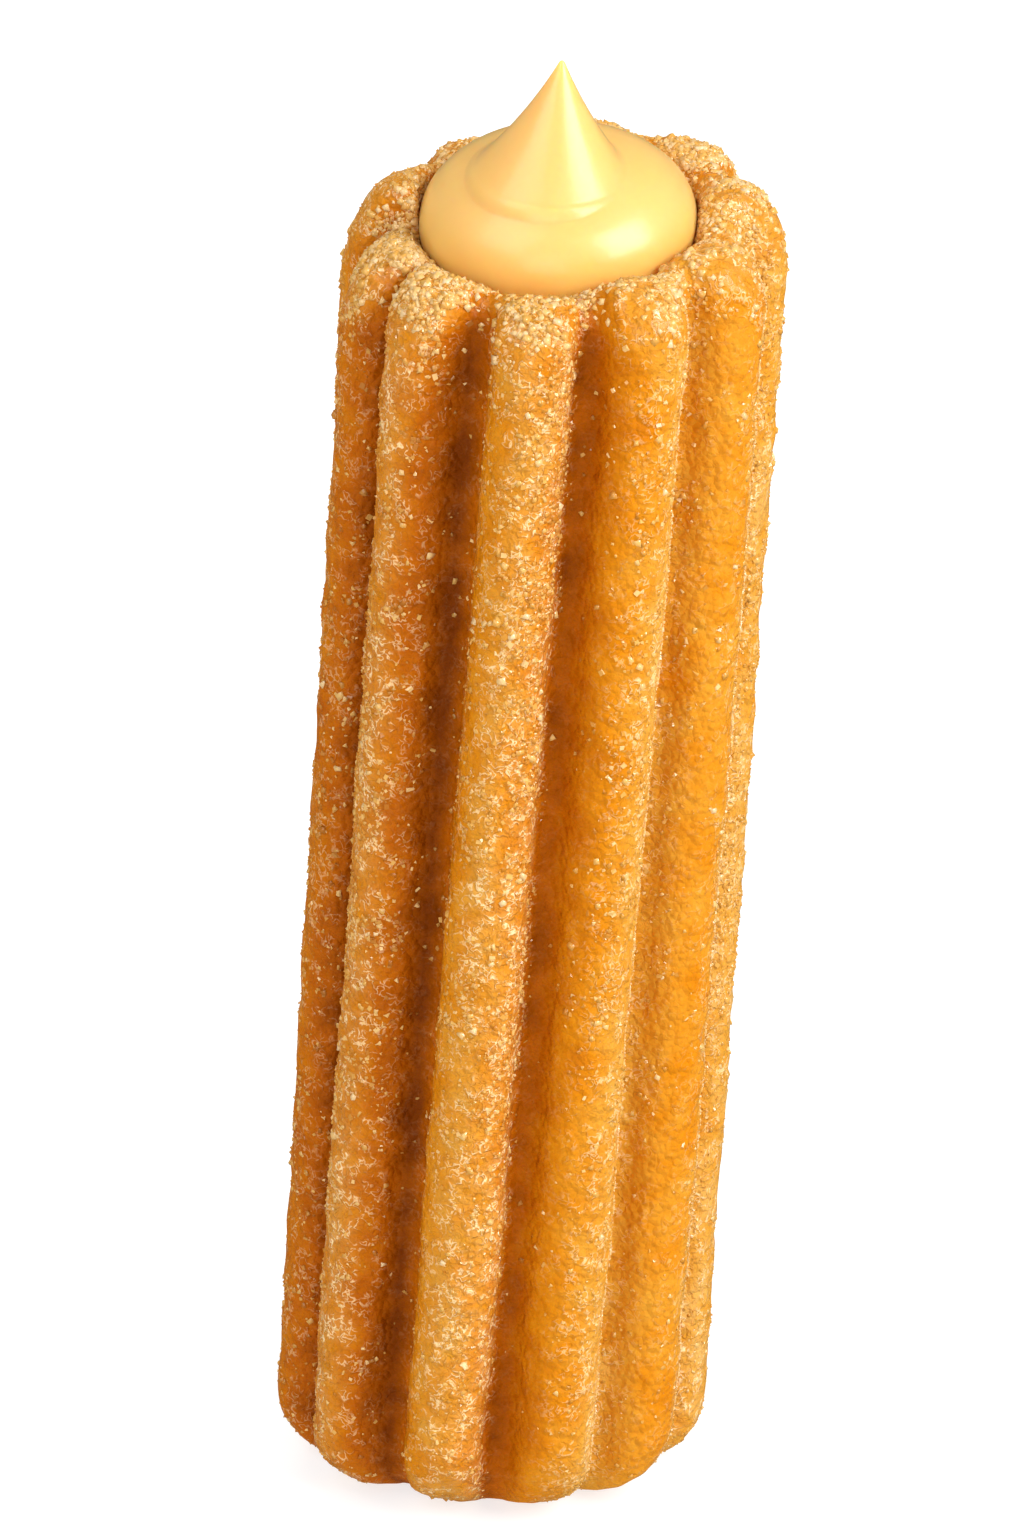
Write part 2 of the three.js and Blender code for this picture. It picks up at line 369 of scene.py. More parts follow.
def centreShift(points):
    low, high = points.reshape(-1, 3).min(0), points.reshape(-1, 3).max(0)
    return np.array([-(low[0] + high[0]) / 2, -(low[1] + high[1]) / 2, 0.0])


plainRings, section, outside = doughRings(doughShape, fillShape)
shift = centreShift(plainRings)
plainRings = plainRings + shift
plainNormals = ringNormals(plainRings)
doughSurface = doughRelief(plainRings, plainNormals, section, outside, reliefShape)
doughNormals = ringNormals(doughSurface)

dough = closedTube("churro_dough", doughSurface)
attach(dough, "root")
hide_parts("ribbed_dough")
print("dough made:", len(dough.data.polygons), "faces")

# ---- custard


def peakDepth(fill, r):  # how far the peak's surface has fallen at this radius
    a, b = fill["flare"]
    inside = np.minimum(r, fill["peakRadius"])
    tip = fill["tipRound"]
    nearTip = 0.5 * (inside / tip) ** 2 * tip
    flare = 0.5 * tip + (-a + np.sqrt(a * a + 4 * b * np.maximum(0, inside - tip))) / (2 * b)
    past = max(0.0, r - fill["peakRadius"]) / fill["peakLip"]
    if past < 1:
        fall = fill["lipFall"] * (1 - math.sqrt(1 - past * past))
    else:
        fall = fill["lipFall"] + fill["lipSlope"] * (past - 1)
    shelf = fill["shelf"] * max(0.0, r - fill["peakRadius"])
    return float(nearTip if inside < tip else flare) + fall + shelf


def softMax(a, b, width):
    t = np.clip(0.5 + (a - b) / (2 * width), 0, 1)
    return mix(b, a, t) + width * t * (1 - t)


def custardRings(fill):
    turn = 2 * math.pi * np.arange(fill["steps"]) / fill["steps"]
    ox, oy = fill["offset"]
    core = fill["boreRadius"] - fill["skin"]
    rings = []

    def plain(r, z, tilt):
        x, y = ox + r * np.sin(turn), oy - r * np.cos(turn)
        rings.append(np.stack([x, y, z + tilt * tiltAt(fill, x, y)], -1))

    def top(r):
        if r < fill["peakRadius"]:
            share = r / fill["peakRadius"]
            centre = [mix(fill["peakTip"][k], fill["peakFoot"][k], share) for k in (0, 1)]
        else:
            share = float(smooth((r - fill["peakRadius"]) / (fill["radius"] - fill["peakRadius"])))
            centre = [mix(fill["peakFoot"][k], fill["offset"][k], share) for k in (0, 1)]
        x, y = centre[0] + r * np.sin(turn), centre[1] - r * np.cos(turn)
        away = np.hypot(x - ox, y - oy) / fill["radius"]
        dome = fill["rise"] * np.sqrt(np.maximum(0, 1 - away ** fill["fullness"])) + tiltAt(fill, x, y)
        out = min(1, r / fill["peakRadius"])
        peak = fill["peakTop"] - peakDepth(fill, r) + tiltAt(fill, x, y) * out**2
        peak = peak + fill["leftLift"] * (0.5 - 0.5 * np.sin(turn)) * out**4
        rings.append(np.stack([x, y, fill["level"] + softMax(dome, peak, fill["blend"])], -1))

    plain(core - fill["plugRound"], fill["boreFloor"] + fill["skin"], 0)
    plain(core, fill["boreFloor"] + fill["plugSide"], 0)
    plain(core, mix(fill["boreFloor"], fill["level"], 0.5), 0)
    for a in np.linspace(0, math.pi / 2, fill["underRows"]):
        plain(mix(core, fill["radius"], math.sin(a)), fill["level"] - fill["under"] * math.cos(a), 1)
    for a in np.linspace(0, math.pi / 2, fill["domeRows"])[1:]:
        r = fill["radius"] * math.cos(a)
        if r > fill["peakRadius"] + fill["peakLip"] + fill["rowGap"]:
            top(r)
    for r in np.linspace(fill["peakRadius"] + fill["peakLip"], fill["peakRadius"], fill["foldRows"]):
        top(r)
    for r in np.linspace(fill["peakRadius"] - fill["rowGap"], fill["tipFrom"], fill["peakRows"]):
        top(r)
    for r in fill["tipRadii"]:
        top(r)
    return np.stack(rings)


custardSurface = custardRings(fillShape) + shift
custard = closedTube("custard_filling_top", custardSurface)
edgeLevel = fillShape["level"] + tiltAt(fillShape, custardSurface[..., 0], custardSurface[..., 1])
heightOver = custardSurface[..., 2] - edgeLevel
# painted shade, deepest where the custard turns under against the dough, fading upwards
custardPaintedShade = fillShape["shadeFadeShare"] * smooth(1 - heightOver / fillShape["shadeFadeHeight"])
addValues(custard, "custardPaintedShade", np.concatenate([custardPaintedShade.ravel(), [fillShape["shadeFadeShare"], 0.0]]))
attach(custard, "root")
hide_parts("custard_filling")
print("custard made:", len(custard.data.polygons), "faces")

# ---- sugar

# how thickly sugar lies over each rib: left side, left shoulder, crest, right shoulder, right side, groove
sugarOver = [
    [0.12, 0.35, 0.75, 0.95, 0.9, 0.03],
    [0.02, 0.1, 0.45, 0.75, 0.8, 0.6],
    [0.16, 0.06, 0.25, 0.75, 1.15, 1.1],
    [1.0, 0.65, 0.5, 0.5, 0.4, 0.2],
    [0.2, 0.5, 0.7, 0.6, 0.4, 0.1],
    [0.2, 0.6, 0.6, 0.5, 0.3, 0.1],
    [0.2, 0.5, 0.7, 0.6, 0.4, 0.1],
    [0.2, 0.6, 0.6, 0.5, 0.3, 0.1],
    [0.25, 0.35, 0.4, 0.25, 0.08, 0.02],
    [0.25, 0.62, 0.95, 0.4, 0.06, 0.02],
]
# how light the crust is at the same places, 0 darkest: partly the crust's own browning, partly painted shade,
# darker in the grooves and on the ribs that face away from the key lamp
crustAndShadeOver = [
    [0.4, 0.64, 0.72, 0.63, 0.45, 0.14],
    [0.4, 0.56, 0.7, 0.83, 0.85, 0.75],
    [0.73, 0.68, 0.67, 0.83, 0.88, 0.8],
    [0.8, 0.85, 0.85, 0.85, 0.7, 0.4],
    [0.45, 0.65, 0.75, 0.7, 0.5, 0.25],
    [0.45, 0.65, 0.75, 0.65, 0.45, 0.2],
    [0.4, 0.6, 0.7, 0.65, 0.45, 0.2],
    [0.4, 0.6, 0.7, 0.6, 0.4, 0.15],
    [0.36, 0.46, 0.46, 0.32, 0.15, 0.03],
    [0.46, 0.57, 0.58, 0.36, 0.17, 0.0],
]
tablePlaces = (-0.36, -0.18, 0.0, 0.18, 0.36, 0.45)
rimOver = [1.1, 0.7, 0.28, 0.6, 1.0, 0.8, 0.6, 0.3, 1.3, 0.9]  # how thickly it lies on each rib end
# fine lines of pale sugar down the right edges of two ribs, whose pale tone is partly painted highlight along
# the lit edges: place round the section at the foot and at the rim
edgeLines = [(1.29, 1.262), (2.152, 2.122)]
edgeWidth = 0.02


def overRibs(table, place):  # the table's value at a place around the section
    places = np.concatenate([[rib + p for p in tablePlaces] for rib in range(len(table))])
    return np.interp(place, places, np.concatenate(table), period=len(table))


# size is in millimetres, and rise is how far a grain's middle stands off the crust, in grain sizes;
# rim is how thickly the kind lies on the rim, and tone runs from stained by the crust to pale
sugarCoat = {
    "coarse": {
        "count": 7000, "size": (0.34, 0.62), "seed": 21,
        "rise": (-0.45, -0.2), "rim": 0.8, "tone": (0, 0.7)},
    "fine": {
        "count": 14500, "size": (0.2, 0.4), "seed": 22,
        "rise": (-0.3, 0.0), "rim": 0.6, "tone": (0, 0.75)},
    "flakes": {
        "count": 12500, "size": (0.28, 0.58), "seed": 23,
        "rise": (-0.2, -0.04), "rim": 1.3, "tone": (0, 0.8)},
    # grains of the edge lines; their paleness is partly painted highlight
    "edge": {
        "count": 2400, "size": (0.2, 0.36), "seed": 25,
        "rise": (-0.1, 0.15), "rim": 0, "tone": (0.7, 1)},
    "rim": {
        "count": 4600, "size": (0.34, 0.76), "seed": 24,
        "rise": (-0.44, -0.12), "rim": 60, "tone": (0.35, 1)},
}

bareRows = len(doughShape["footShares"]) + 1  # rings at the foot that no grain lies on
lowestGrain = 0.02  # millimetres over the flat of the foot

blockCorners = np.array([[x, y, z] for z in (-1, 1) for y in (-1, 1) for x in (-1, 1)], float) * 0.5
blockFaces = np.array([[0, 2, 3, 1], [4, 5, 7, 6], [0, 1, 5, 4], [2, 6, 7, 3], [0, 4, 6, 2], [1, 3, 7, 5]])
spikeCorners = np.array([[1, 0, 0], [-1, 0, 0], [0, 1, 0], [0, -1, 0], [0, 0, 1], [0, 0, -1]], float) * 0.62
spikeFaces = np.array([
    [0, 2, 4], [2, 1, 4], [1, 3, 4], [3, 0, 4],
    [2, 0, 5], [1, 2, 5], [3, 1, 5], [0, 3, 5]])


# soft patches have a least share, a contrast, a size in millimetres and a seed; heights are in millimetres
coatSpread = {
    "clump": (0.15, 1.3, 2.2, 31),
    "drift": (0.6, 0.9, 9.0, 32),
    "driftSqueeze": 0.4,
    "edge": (0.4, 1.2, 3.0, 33),
    "rimFrom": 0.9,  # shares of the rows that can be seen
    "rimEase": 0.075,
    "rimSharp": 1.5,
    "rimLeast": 0.08,
    "rimClump": 2.2,
    "footShare": 0.75,
    "footFrom": 5,
    "footEase": 60,
    "topExtra": 0.5,
    "topFrom": 90,
    "topEase": 20,
}


def patchy(points, least, contrast, size, seed):
    return mix(least, 1.0, smooth(0.5 + contrast * softNoise(points, size, seed)))


def edgeDensity(points, place, spread):
    share = points[..., 2] / doughShape["height"]
    near = [np.exp(-(((place - mix(low, high, share)) / edgeWidth) ** 2)) for low, high in edgeLines]
    return sum(near) * patchy(points, *spread["edge"])


def coatDensity(points, place, rowShare, kind, spread):
    if kind["rim"] == 0:  # the kind that lies only in the fine lines
        return edgeDensity(points, place, spread)
    clump = patchy(points, *spread["clump"])
    drift = patchy(points * [1, 1, spread["driftSqueeze"]], *spread["drift"])
    rim = smooth((rowShare - spread["rimFrom"]) / spread["rimEase"]) ** spread["rimSharp"]
    z = points[..., 2]
    height = mix(spread["footShare"], 1.0, smooth((z - spread["footFrom"]) / spread["footEase"]))
    height = height + spread["topExtra"] * smooth((z - spread["topFrom"]) / spread["topEase"])
    rimClumps = mix(spread["rimLeast"], 1.0, clump ** spread["rimClump"])
    onRim = kind["rim"] * aroundRibs(rimOver, place) * rimClumps
    return mix(overRibs(sugarOver, place) * clump * drift * height, onRim, rim)


def chunkShape(rng, count):  # uneven blocks with one end smaller
    block = np.broadcast_to(blockCorners, (count, 8, 3)).copy()
    block *= rng.uniform(0.62, 1.1, (count, 1, 3))
    block[:, 4:, :2] *= rng.uniform(0.55, 1.0, (count, 1, 2))
    return block + rng.uniform(-0.11, 0.11, block.shape)


def flakeShape(rng, count):
    block = chunkShape(rng, count)
    block[..., 2] *= rng.uniform(0.35, 0.55, (count, 1))
    return block


def spikeShape(rng, count):
    block = np.broadcast_to(spikeCorners, (count, 6, 3)) * rng.uniform(0.6, 1.1, (count, 1, 3))
    return block + rng.uniform(-0.1, 0.1, block.shape)


def spun(rng, block):  # each one turned at random
    axes = rng.normal(size=(4, len(block)))
    w, x, y, z = axes / np.linalg.norm(axes, axis=0)
    turn = np.stack([
        1 - 2 * (y * y + z * z), 2 * (x * y - z * w), 2 * (x * z + y * w),
        2 * (x * y + z * w), 1 - 2 * (x * x + z * z), 2 * (y * z - x * w),
        2 * (x * z - y * w), 2 * (y * z + x * w), 1 - 2 * (x * x + y * y)], -1).reshape(-1, 3, 3)
    return np.einsum("nij,nkj->nki", turn, block)


def laidFlat(rng, block, normal):  # each one lying along the crust, tipped a little
    up = normal + rng.normal(scale=0.28, size=normal.shape)
    up /= np.linalg.norm(up, axis=1, keepdims=True)
    side = np.cross(up, rng.normal(size=up.shape))
    side /= np.linalg.norm(side, axis=1, keepdims=True)
    return block @ np.stack([side, np.cross(up, side), up], 1)


def grainUv(count, faces):  # a small cell for each grain, with a patch for each of its sides
    across = math.ceil(math.sqrt(count))
    cellX, cellY = np.arange(count) % across, np.arange(count) // across
    wide = math.ceil(len(faces) / 2)
    cornerX = np.array([0.08, 0.92, 0.92, 0.08])[: faces.shape[1]]
    cornerY = np.array([0.08, 0.08, 0.92, 0.92])[: faces.shape[1]]
    sideX = np.array([f % wide + cornerX for f in range(len(faces))]) / wide
    sideY = np.array([f // wide + cornerY for f in range(len(faces))]) / 2
    u = (cellX[:, None, None] + sideX[None]) / across
    v = (cellY[:, None, None] + sideY[None]) / across
    return np.stack([u, v], -1).astype(np.float32).ravel()


def makeGrains(name, kind, shapeOf, faces, flat=False, rounded=False):
    rng = np.random.default_rng(kind["seed"])
    count, steps = kind["count"], doughShape["ringSteps"]
    base = plainRings[:outside]
    area = np.linalg.norm(np.cross(np.roll(base, -1, 1)[:-1] - base[:-1], base[1:] - base[:-1]), axis=-1)
    rowShare = np.arange(len(area))[:, None] / len(area) + 0 * area
    density = coatDensity(base[:-1], section["place"][None] + 0 * area, rowShare, kind, coatSpread)
    density[:bareRows] = 0
    weight = (area * density).ravel()
    cell = rng.choice(weight.size, count, p=weight / weight.sum())
    row, step = cell // steps, cell % steps
    alongRow, alongStep = rng.random((2, count, 1))

    def at(grid):
        grid = grid.reshape(grid.shape[0], steps, -1)
        low = mix(grid[row, step], grid[row, (step + 1) % steps], alongStep)
        high = mix(grid[row + 1, step], grid[row + 1, (step + 1) % steps], alongStep)
        return mix(low, high, alongRow)

    spot, normal = at(doughSurface), at(doughNormals)
    size = rng.uniform(*kind["size"], (count, 1)) * mix(0.8, 1.0, smooth((spot[:, 2:] - 10) / 60))
    block = shapeOf(rng, count) * size[:, None]
    block = laidFlat(rng, block, normal) if flat else spun(rng, block)
    grains = (spot + normal * size * rng.uniform(*kind["rise"], (count, 1)))[:, None] + block
    grains[..., 2] = np.maximum(grains[..., 2], lowestGrain)
    corners = grains.shape[1]
    allFaces = (faces[None] + corners * np.arange(count)[:, None, None]).reshape(-1, faces.shape[1])
    piece = makePiece(name, grains.reshape(-1, 3), allFaces, flat=not rounded)
    addValues(piece, "grainTone", np.repeat(mix(*kind["tone"], rng.random(count) ** 1.5), corners))
    # each grain takes the tone of the crust under it, painted shade included
    addValues(piece, "crustToneAndShade", np.repeat(at(crustToneAndShade), corners))
    layer = piece.data.uv_layers.new(name="OFBake")
    layer.data.foreach_set("uv", grainUv(count, faces))
    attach(piece, "root")
    print("sugar", name, "made:", count, "grains")
    return piece


toneShape = {
    "noise": [(0.07, 5.0, 0.5, 41), (0.05, 1.8, 1, 42)],  # layers as in reliefShape, in shares of the tone
    "rimFrom": 0.89,
    "rimEase": 0.07,
    "rimGroove": 0.5,
    "rimTone": 0.7,
    "rimGlaze": 0.9,
    "glazeNoise": 4,
    "mostGlaze": 1.3,
    "hubTone": (0.5, 0.2),  # at the foot's hub and the bore's
    "hubGlaze": (0.2, 0.0),
}
toneNoise = noiseLayers(doughSurface, toneShape["noise"])
rimRows = smooth((np.arange(len(doughSurface)) / outside - toneShape["rimFrom"]) / toneShape["rimEase"])
rimShare = rimRows[:, None] * mix(toneShape["rimGroove"], 1, section["crest"])[None]
# crust tone from the table, with its painted shade, lightened towards the sugary rim
crustToneAndShade = mix(overRibs(crustAndShadeOver, section["place"])[None], toneShape["rimTone"], rimShare)
crustToneAndShade = np.clip(crustToneAndShade + toneNoise, 0, 1)
addValues(dough, "crustToneAndShade", np.concatenate([crustToneAndShade.ravel(), toneShape["hubTone"]]))
glaze = mix(overRibs(sugarOver, section["place"])[None], toneShape["rimGlaze"], rimShare)
glaze = np.clip(glaze * (1 + toneShape["glazeNoise"] * toneNoise), 0, toneShape["mostGlaze"])
addValues(dough, "sugarGlaze", np.concatenate([glaze.ravel(), toneShape["hubGlaze"]]))

sugarPieces = [
    makeGrains("sugar_coarse", sugarCoat["coarse"], chunkShape, blockFaces, rounded=True),
    makeGrains("sugar_fine", sugarCoat["fine"], spikeShape, spikeFaces),
    makeGrains("sugar_flakes", sugarCoat["flakes"], flakeShape, blockFaces, flat=True),
    makeGrains("sugar_edges", sugarCoat["edge"], spikeShape, spikeFaces),
    makeGrains("sugar_rim", sugarCoat["rim"], chunkShape, blockFaces, rounded=True),
]

# ---- node groups


def newGroup(name, inputs, outputs):
    group = bpy.data.node_groups.new(name, "ShaderNodeTree")
    for label, kind, value in inputs:
        socket = group.interface.new_socket(label, in_out="INPUT", socket_type=kind)
        socket.default_value = value
    for label, kind in outputs:
        group.interface.new_socket(label, in_out="OUTPUT", socket_type=kind)
    return group, group.nodes.new("NodeGroupInput"), group.nodes.new("NodeGroupOutput")


def addNode(tree, kind, links=(), **settings):
    node = tree.nodes.new(kind)
    for key, value in settings.items():
        setattr(node, key, value)
    for socket, source in links:
        if hasattr(source, "links"):
            tree.links.new(source, node.inputs[socket])
        else:
            node.inputs[socket].default_value = source
    return node


def multiply(tree, first, second, clamp=False):
    sockets = [(0, first), (1, second)]
    return addNode(tree, "ShaderNodeMath", sockets, operation="MULTIPLY", use_clamp=clamp).outputs[0]


def add(tree, first, second, clamp=False):
    sockets = [(0, first), (1, second)]
    return addNode(tree, "ShaderNodeMath", sockets, operation="ADD", use_clamp=clamp).outputs[0]


def rerange(tree, value, low, high, toLow, toHigh):
    node = addNode(tree, "ShaderNodeMapRange", [
        ("Value", value), ("From Min", low), ("From Max", high), ("To Min", toLow), ("To Max", toHigh)])
    return node.outputs[0]


def fromHalf(tree, value):
    return addNode(tree, "ShaderNodeMath", [(0, value), (1, 0.5)], operation="SUBTRACT").outputs[0]


def makeMottle():  # cloudy patches with finer grain in them
    group, given, out = newGroup(
        "crustMottle",
        [("Size", "NodeSocketFloat", 300.0),
         ("Grain", "NodeSocketFloat", 0.5),
         ("Contrast", "NodeSocketFloat", 1.0)],
        [("Patch", "NodeSocketFloat"), ("Height", "NodeSocketFloat")],
    )
    place = group.nodes.new("ShaderNodeTexCoord")
    cloud = addNode(group, "ShaderNodeTexNoise", [
        ("Vector", place.outputs["Object"]), ("Scale", given.outputs["Size"]), ("Detail", 4.0),
        ("Roughness", given.outputs["Grain"])])
    finer = multiply(group, given.outputs["Size"], 2.0)
    pits = addNode(group, "ShaderNodeTexVoronoi", [
        ("Vector", place.outputs["Object"]), ("Scale", finer)], feature="F1")
    wide = multiply(group, fromHalf(group, cloud.outputs["Fac"]), given.outputs["Contrast"])
    lump = multiply(group, pits.outputs["Distance"], -0.6)
    group.links.new(add(group, wide, 0.5, clamp=True), out.inputs["Patch"])
    group.links.new(add(group, lump, cloud.outputs["Fac"]), out.inputs["Height"])
    return group


crustMottle = makeMottle()


# crust colours by tone; the dark end serves browned crust and painted shade in the grooves
crustStops = [
    (0.0, (0.19, 0.036, 0.0004, 1.0)),
    (0.3, (0.45, 0.104, 0.0008, 1.0)),
    (0.6, (0.64, 0.212, 0.003, 1.0)),
    (0.82, (0.68, 0.295, 0.024, 1.0)),
    (1.0, (0.74, 0.39, 0.085, 1.0)),
]


def makeCrustColour(stops):  # from dark to pale sugary crust; the dark end is browned crust and painted groove shade
    group, given, out = newGroup(
        "crustColour",
        [("Tone", "NodeSocketFloat", 0.5),
         ("Patch", "NodeSocketFloat", 0.5),
         ("Patch Strength", "NodeSocketFloat", 0.4)],
        [("Color", "NodeSocketColor")],
    )
    wide = multiply(group, fromHalf(group, given.outputs["Patch"]), given.outputs["Patch Strength"])
    tone = add(group, wide, given.outputs["Tone"], clamp=True)
    ramp = addNode(group, "ShaderNodeValToRGB", [(0, tone)])
    ramp.color_ramp.elements[0].position, ramp.color_ramp.elements[0].color = stops[0]
    ramp.color_ramp.elements[1].position, ramp.color_ramp.elements[1].color = stops[-1]
    for place, colour in stops[1:-1]:
        ramp.color_ramp.elements.new(place).color = colour
    group.links.new(ramp.outputs[0], out.inputs["Color"])
    return group


crustColour = makeCrustColour(crustStops)


def makeGlazeSpecks():  # thin curling glints in a sugary glaze
    group, given, out = newGroup(
        "glazeSpecks",
        [("Size", "NodeSocketFloat", 2200.0),
         ("Width", "NodeSocketFloat", 0.05),
         ("Curl", "NodeSocketFloat", 0.6)],
        [("Mask", "NodeSocketFloat"), ("Height", "NodeSocketFloat")],
    )
    place = group.nodes.new("ShaderNodeTexCoord")
    noise = addNode(group, "ShaderNodeTexNoise", [
        ("Vector", place.outputs["Object"]), ("Scale", given.outputs["Size"]), ("Detail", 1.5),
        ("Distortion", given.outputs["Curl"])])
    away = fromHalf(group, noise.outputs["Fac"])
    ridge = addNode(group, "ShaderNodeMath", [(0, away)], operation="ABSOLUTE").outputs[0]
    mask = rerange(group, ridge, 0.0, given.outputs["Width"], 1.0, 0.0)
    group.links.new(mask, out.inputs["Mask"])
    group.links.new(rerange(group, ridge, 0.0, 0.25, 1.0, 0.0), out.inputs["Height"])
    return group


glazeSpecks = makeGlazeSpecks()


def newFinish(name):
    finish = bpy.data.materials.new(name)
    finish.use_nodes = True
    tree = finish.node_tree
    return finish, tree, tree.nodes["Principled BSDF"]


def placeGroup(tree, group, **values):
    node = addNode(tree, "ShaderNodeGroup", node_tree=group)
    for label, value in values.items():
        socket = node.inputs[label.replace("_", " ")]
        if hasattr(value, "links"):
            tree.links.new(value, socket)
        else:
            socket.default_value = value
    return node


def blendColours(tree, factor, first, second):
    node = addNode(tree, "ShaderNodeMix", [(0, factor)], data_type="RGBA")
    for socket, colour in ((6, first), (7, second)):
        if hasattr(colour, "links"):
            tree.links.new(colour, node.inputs[socket])
        else:
            node.inputs[socket].default_value = colour
    return node.outputs[2]


# ---- fried dough

doughLook = {
    "patchSize": 330.0,
    "patchContrast": 2.2,
    "patchStrength": 0.22,
    "lumpSize": 750.0,
    "lumpContrast": 2.4,
    "lumpHeight": 1.4,
    "speckSize": 1600.0,
    "speckWidth": 0.055,
    # pale sugar tint, also the colour of the painted glints
    "sugarAndGlintPale": (0.98, 0.7, 0.36, 1.0),
    "roughness": 0.4,
    "bumpStrength": 0.9,
    "bumpDistance": 0.00034,
    "coatRoughness": 0.1,
    "softLight": 0.12,  # share of light that goes under the crust
    "softReach": (1.0, 0.45, 0.12),
    "softScale": 0.001,
    "specular": 0.04,
}


def makeDoughFinish(look):
    finish, tree, shader = newFinish("fried_dough")
    # crust tone, carrying painted shade in the grooves and on the ribs turned from the key lamp
    tone = addNode(tree, "ShaderNodeAttribute", attribute_name="crustToneAndShade").outputs["Fac"]
    glaze = addNode(tree, "ShaderNodeAttribute", attribute_name="sugarGlaze").outputs["Fac"]
    broad = placeGroup(tree, crustMottle, Size=look["patchSize"], Contrast=look["patchContrast"], Grain=0.5)
    lumps = placeGroup(tree, crustMottle, Size=look["lumpSize"], Contrast=look["lumpContrast"], Grain=0.4)
    specks = placeGroup(tree, glazeSpecks, Size=look["speckSize"], Width=look["speckWidth"])
    crust = placeGroup(tree, crustColour, Tone=tone, Patch=broad.outputs["Patch"],
                       Patch_Strength=look["patchStrength"])
    haze = multiply(tree, rerange(tree, glaze, 0.4, 1.3, 0.0, 0.22), lumps.outputs["Patch"])
    hazy = blendColours(tree, haze, crust.outputs["Color"], look["sugarAndGlintPale"])
    where = rerange(tree, lumps.outputs["Patch"], 0.45, 0.66, 0.04, 1.0)
    glints = multiply(tree, specks.outputs["Mask"], where)
    # painted glints: pale colour laid into the base colour along the curling glint mask, on top of their real
    # gloss
    paintedGlints = multiply(tree, glints, multiply(tree, glaze, 1.3), clamp=True)
    tree.links.new(blendColours(tree, paintedGlints, hazy, look["sugarAndGlintPale"]), shader.inputs["Base Color"])
    tree.links.new(rerange(tree, specks.outputs["Mask"], 0, 1, look["roughness"], look["roughness"] - 0.2),
                   shader.inputs["Roughness"])
    glossy = rerange(tree, specks.outputs["Mask"], 0, 1, 0.35, 1.0)
    shine = multiply(tree, rerange(tree, glaze, 0.0, 0.8, 0.05, 1.0), glossy)
    tree.links.new(shine, shader.inputs["Coat Weight"])
    broadHeight = multiply(tree, lumps.outputs["Height"], look["lumpHeight"])
    fineHeight = multiply(tree, specks.outputs["Height"], rerange(tree, glaze, 0, 1, 0.12, 0.55))
    bump = addNode(tree, "ShaderNodeBump", [
        ("Height", add(tree, broadHeight, fineHeight)), ("Strength", look["bumpStrength"]),
        ("Distance", look["bumpDistance"])])
    tree.links.new(bump.outputs[0], shader.inputs["Normal"])
    shader.inputs["Coat Roughness"].default_value = look["coatRoughness"]
    shader.inputs["Subsurface Weight"].default_value = look["softLight"]
    shader.inputs["Subsurface Radius"].default_value = look["softReach"]
    shader.inputs["Subsurface Scale"].default_value = look["softScale"]
    shader.inputs["Specular IOR Level"].default_value = look["specular"]
    return finish


dough.data.materials.append(makeDoughFinish(doughLook))

# ---- custard finish

custardLook = {
    "cream": (0.86, 0.54, 0.18, 1.0),
    "butter": (0.86, 0.52, 0.15, 1.0),
    "paintedShadeColour": (0.87, 0.48, 0.1, 1.0),  # painted warm shade where it turns under, against the dough
    "roughness": 0.2,
    "cloudSize": 120.0,
    "cloudContrast": 0.8,
    "rippleSize": 260.0,
    "rippleStrength": 0.2,
    "rippleDistance": 0.0003,
    "softLight": 1.0,
    "softReach": (1.0, 0.6, 0.3),
    "softScale": 0.003,
    "coat": 0.8,
    "coatRoughness": 0.45,
    "specular": 0.32,
}


def makeCustardFinish(look):
    finish, tree, shader = newFinish("smooth_custard")
    cloud = placeGroup(tree, crustMottle, Size=look["cloudSize"], Contrast=look["cloudContrast"], Grain=0.3)
    # mask of the painted shade low on the custard
    edge = addNode(tree, "ShaderNodeAttribute", attribute_name="custardPaintedShade").outputs["Fac"]
    cream = blendColours(tree, cloud.outputs["Patch"], look["butter"], look["cream"])
    tree.links.new(blendColours(tree, edge, cream, look["paintedShadeColour"]), shader.inputs["Base Color"])
    rough = rerange(tree, cloud.outputs["Patch"], 0, 1, look["roughness"] - 0.04, look["roughness"] + 0.06)
    tree.links.new(rough, shader.inputs["Roughness"])
    place = tree.nodes.new("ShaderNodeTexCoord")
    ripple = addNode(tree, "ShaderNodeTexNoise", [
        ("Vector", place.outputs["Object"]), ("Scale", look["rippleSize"]), ("Detail", 2.0)])
    bump = addNode(tree, "ShaderNodeBump", [
        ("Height", ripple.outputs["Fac"]), ("Strength", look["rippleStrength"]),
        ("Distance", look["rippleDistance"])])
    tree.links.new(bump.outputs[0], shader.inputs["Normal"])
    shader.inputs["Subsurface Weight"].default_value = look["softLight"]
    shader.inputs["Subsurface Radius"].default_value = look["softReach"]
    shader.inputs["Subsurface Scale"].default_value = look["softScale"]
    shader.inputs["Coat Weight"].default_value = look["coat"]
    shader.inputs["Coat Roughness"].default_value = look["coatRoughness"]
    shader.inputs["Specular IOR Level"].default_value = look["specular"]
    return finish


custard.data.materials.append(makeCustardFinish(custardLook))

# ---- sugar finish

sugarLook = {
    "gold": (0.95, 0.57, 0.15, 1.0),  # grains stained by the crust
    "goldShare": (0.1, 0.85),
    "pale": (0.98, 0.72, 0.4, 1.0),
    "paleShare": 0.85,
    "roughness": 0.12,
    "clear": 0.16,
    "specular": 0.8,
}


